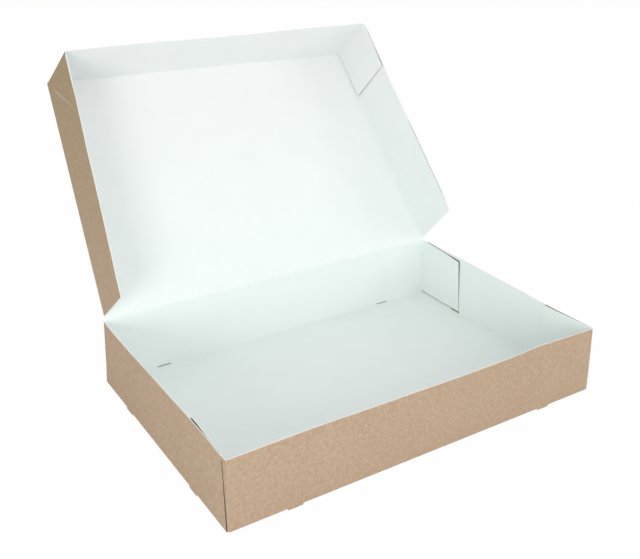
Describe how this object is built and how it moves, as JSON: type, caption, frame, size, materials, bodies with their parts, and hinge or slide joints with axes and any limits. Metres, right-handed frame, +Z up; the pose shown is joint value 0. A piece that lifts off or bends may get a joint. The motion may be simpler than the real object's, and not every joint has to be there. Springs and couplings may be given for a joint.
{
  "type": "takeaway box",
  "caption": "Shallow folding takeaway box of thin board, brown outside and white inside, with a glued tray and a hinged lid standing open.",
  "frame": {"origin": "centre of the tray's underside, 1 mm above the table because the box stands on eight tongues", "axes": "+X along the box's length to the right, +Y from the front wall to the hinge, +Z up"},
  "size_m": [0.34, 0.3611, 0.2585],
  "materials": {
    "tray_board": "matt",
    "lid_board": "matt"
  },
  "bodies": {
    "tray": {"tray": "tray_board"},
    "lid": {"lid": "lid_board"}
  },
  "joints": [
    {"name": "lid_hinge", "type": "hinge", "parent": "tray", "child": "lid", "pos_m": [0, 0.11078, 0.05752], "axis": [1, 0, 0], "range_deg": [-60, 130]}
  ]
}
